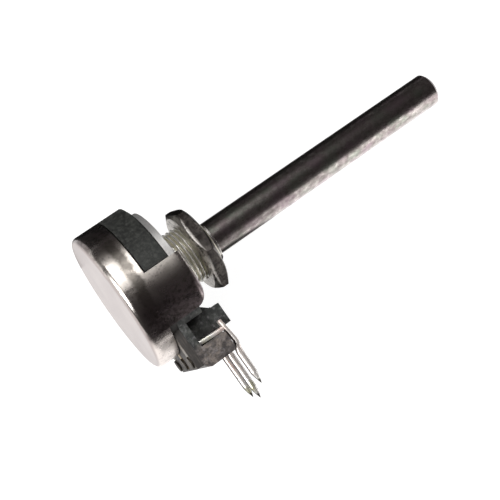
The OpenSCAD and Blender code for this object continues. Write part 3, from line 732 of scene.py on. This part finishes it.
def dark_drawn_steel():
    """Drawn steel rod: fine lines along it, a dull charcoal skin of oil and oxide, and a scatter of small lighter
    worn marks."""
    material, tree, shader, where = start_finish("dark_drawn_steel", 1.0, 0.26)
    lines = mottle(tree, where, 0.1, (24, 1, 1), 3)
    marks = mottle(tree, where, 0.45, (1.3, 1, 1), 6, 0.7)
    tints = mottle(tree, where, 1.3, (1.5, 1, 1), 4)
    colour = ramp(tree, marks, (0.34, "#5d5654"), (0.5, "#756e6c"), (0.62, "#8c8683"), (0.76, "#aaa5a1"))
    colour = lay_over(tree, scaled(tree, tints, 0.5, 0.66, 0, 0.5), colour, linear("#6f786c"))
    colour = lay_over(tree, scaled(tree, tints, 0.48, 0.34, 0, 0.5), colour, linear("#7b6a72"))
    tree.links.new(colour, shader.inputs["Base Color"])
    tree.links.new(scaled(tree, marks, 0.35, 0.7, 0.36, 0.26), shader.inputs["Roughness"])
    tree.links.new(relief(tree, lines, 0.005, 0.5), shader.inputs["Normal"])
    return material


make_piece("plain_shaft", [round_shaft()], "spindle", ["shaft"], dark_drawn_steel(),
           rounding=0.05, smooth=30)


# ---- Open ring ----
# A ring of bright spring steel with a mouth on one side. It snaps into the groove of the shaft and keeps it from
# being pushed in.

RING_R = 3.9
RING_MOUTH = 53.0        # half the mouth's angle, from +Y round to each end


def spring_ring():
    """A small rectangle carried round the axis from one end of the mouth to the other, past -Y."""
    inner = GROOVE_R + RING_PLAY
    section = [(inner, RING_BACK), (RING_R, RING_BACK), (RING_R, RING_FRONT), (inner, RING_FRONT)]
    return turned_rows(np.linspace(RING_MOUTH, 360 - RING_MOUTH, 90), section, closed=False)


make_piece("open_ring", [spring_ring()], "spindle", ["retaining_ring"],
           rolled_metal("bright_spring_steel", "#8f8b88", "#cbc7c2", 0.25), rounding=0.08)


# ---- Nut ----
# A thin hexagon nut in nickel-plated steel. Both faces are turned down at the corners by a cone, which leaves a
# curved edge on each flat.

NUT_BACK = 4.1
NUT_THICK = 2.6
NUT_FLATS = 14.0
NUT_TURN = 12.0          # one flat faces this many degrees off +Y
NUT_FACE_R = 6.7         # the cone begins outside this radius
NUT_BORE = 5.03
CONE = math.tan(math.radians(30))


def hexagon_nut(angles=288):
    """Section round the axis. The outer radius is a hexagon's, R = flats / 2 / cos(angle to the nearest flat), and
    the cone of each face meets it at a height of (R - face radius) * tan 30."""
    angle = span(0, 360, angles)
    to_flat = (angle + 30) % 60 - 30
    outer = NUT_FLATS / 2 / np.cos(np.radians(to_flat))
    low = (outer - NUT_FACE_R) * CONE
    front = NUT_BACK + NUT_THICK
    return turned_rows(angle + NUT_TURN, section_rows(angle, [
        (NUT_BORE, NUT_BACK), (NUT_FACE_R, NUT_BACK), (outer, NUT_BACK + low), (outer, front - low),
        (NUT_FACE_R, front), (NUT_BORE, front)]))


def tumbled_nickel_on_steel():
    """Nickel over tumbled steel: greyer and duller than the can, stained and pitted on its flats. The cone that
    faces the panel has a painted highlight, bright where it catches the light from behind."""
    material, tree, shader, where = start_finish("tumbled_nickel_on_steel", 1.0, 0.32)
    stains = mottle(tree, where, 1.7, detail=6, rough=0.65, bend=0.5)
    pits = mottle(tree, where, 0.4, detail=4, rough=0.75)
    colour = ramp(tree, stains, (0.32, "#272422"), (0.5, "#413d3b"), (0.7, "#716c67"))
    along_shaft = add(tree, "ShaderNodeSeparateXYZ", None, {0: where}).outputs["X"]
    # painted highlight: the cone that faces the panel is painted bright
    painted_highlight_cone = scaled(tree, along_shaft, (NUT_BACK + 0.75) / 1000, (NUT_BACK + 0.35) / 1000, 0, 0.85)
    colour = lay_over(tree, painted_highlight_cone, colour, linear("#cfcac4"))
    colour = lay_over(tree, scaled(tree, pits, 0.5, 0.62, 0, 0.75), colour, linear("#1f1c1b"))
    tree.links.new(colour, shader.inputs["Base Color"])
    tree.links.new(scaled(tree, stains, 0.35, 0.7, 0.42, 0.24), shader.inputs["Roughness"])
    tree.links.new(relief(tree, pits, 0.02, 0.6), shader.inputs["Normal"])
    return material


make_piece("hexagon_nut", [hexagon_nut()], "panel_nut", ["hex_nut"], tumbled_nickel_on_steel(),
           rounding=0.1, smooth=22)


# ---- Table, light and camera ----
# The part lies over a plain white table that glows, and three soft boxes light it. Its bright metal mirrors a
# dark room, two dark cards and a lit one. The cards show only in the metal, and the camera sees the room near
# white.

TABLE = -12.6
TABLE_HALF = 900.0
CARD_LIFT = 0.1          # the mirrored cards lie this far above the table


def flat_card(name, x0, x1, y0, y1, z, finish):
    """A flat rectangle on the table, facing up. It is part of the stage."""
    mesh = bpy.data.meshes.new(name)
    corners = np.array([(x0, y0, z), (x1, y0, z), (x1, y1, z), (x0, y1, z)])
    mesh.from_pydata(corners / 1000, [], [[0, 1, 2, 3]])
    mesh.materials.append(finish)
    card = put_in_scene(name, mesh)
    return card


def card_finish(name, dark, light, glow):
    """Matt card, even in tone, with a glow from below if it lies on lit glass."""
    material, tree, shader, where = start_finish(name, 0.0, 0.9)
    tone = mottle(tree, where, 60, detail=2)
    tree.links.new(ramp(tree, tone, (0.2, dark), (0.8, light)), shader.inputs["Base Color"])
    shader.inputs["Specular IOR Level"].default_value = 0.1
    shader.inputs["Emission Color"].default_value = linear("#ffffff")
    shader.inputs["Emission Strength"].default_value = glow
    return material


flat_card("table_top", -TABLE_HALF, TABLE_HALF, -TABLE_HALF, TABLE_HALF, TABLE,
          card_finish("white_card", "#8f8e8e", "#959494", 0.93))
for name, x0, x1, y0, y1, dark, light, glow in (
        ("black_card", -12.0, 160.0, 9.0, 400.0, "#121212", "#181818", 0.0),
        ("near_card", -2.0, 22.0, -220.0, -9.0, "#121212", "#181818", 0.0),
        ("lit_card", 24.0, 300.0, -300.0, -4.0, "#f4f3f3", "#f9f8f8", 2.1)):
    card = flat_card(name, x0, x1, y0, y1, TABLE + CARD_LIFT, card_finish(name, dark, light, glow))
    card.visible_camera = card.visible_diffuse = card.visible_shadow = False


def axes_at(side, upward, away, spot):
    """A place and turn from three axes and a point in metres, which make up the matrix's columns."""
    return Matrix([[side[k], upward[k], away[k], spot[k]] for k in range(3)] + [[0, 0, 0, 1]])


def soft_box(name, middle, facing, width, height, radiance):
    """A rectangular light at a point in mm, turned to face another point. Its power is that of an even radiance
    over its face: power = radiance * pi * area."""
    lamp = bpy.data.lights.new(name, "AREA")
    lamp.shape = "RECTANGLE"
    lamp.size, lamp.size_y = width / 1000, height / 1000
    lamp.energy = radiance * math.pi * lamp.size * lamp.size_y
    holder = put_in_scene(name, lamp)
    away = np.array(middle, float) - np.array(facing, float)
    away /= np.linalg.norm(away)
    side = np.cross([0, 0, 1], away)
    side /= np.linalg.norm(side)
    upward = np.cross(away, side)
    holder.matrix_world = axes_at(side, upward, away, np.array(middle, float) / 1000)
    holder.visible_camera = False
    return holder


soft_box("high_box", (10, 190, 300), (-8, 0, 8), 90, 240, 5.6)
soft_box("shaft_box", (205, -290, 75), (35, 0, 0), 170, 180, 4.5)
soft_box("rear_box", (-300, 20, 260), (0, 0, 0), 260, 260, 9.0)

world = bpy.data.worlds.new("room")
bpy.context.scene.world = world
world.use_nodes = True
room = world.node_tree
view_dir = add(room, "ShaderNodeTexCoord").outputs["Generated"]
height = add(room, "ShaderNodeSeparateXYZ", None, {0: view_dir}).outputs["Z"]
dusk = ramp(room, scaled(room, height, 0, 0.5, 0, 1), (0.0, "#454242"), (1.0, "#4a4646"))
seen = add(room, "ShaderNodeLightPath").outputs["Is Camera Ray"]
room.links.new(lay_over(room, seen, dusk, linear("#f6f5f5")), room.nodes["Background"].inputs["Color"])
room.nodes["Background"].inputs["Strength"].default_value = 1.0

CAMERA_LEAN = math.radians(15)      # the camera stands over the can's side of the upright
CAMERA_TURN = math.radians(35.1)    # and is turned about its own axis
CAMERA_AIM = np.array([11.86, -5.195, 3.18])
CAMERA_AWAY = 162.6

# the camera's right, up and line of sight
along = np.array([math.cos(CAMERA_LEAN), 0, math.sin(CAMERA_LEAN)])
across = np.array([0, -1.0, 0])
sight = np.array([math.sin(CAMERA_LEAN), 0, -math.cos(CAMERA_LEAN)])
right = math.cos(CAMERA_TURN) * along + math.sin(CAMERA_TURN) * across
up = math.sin(CAMERA_TURN) * along - math.cos(CAMERA_TURN) * across
spot = (CAMERA_AIM - CAMERA_AWAY * sight) / 1000
camera = put_in_scene("camera", bpy.data.cameras.new("camera"))
camera.matrix_world = axes_at(right, up, -sight, spot)
camera.data.lens = 72
camera.data.sensor_width = 36
camera.data.clip_start = 0.01
bpy.context.scene.camera = camera
bpy.context.scene.view_settings.view_transform = "Standard"
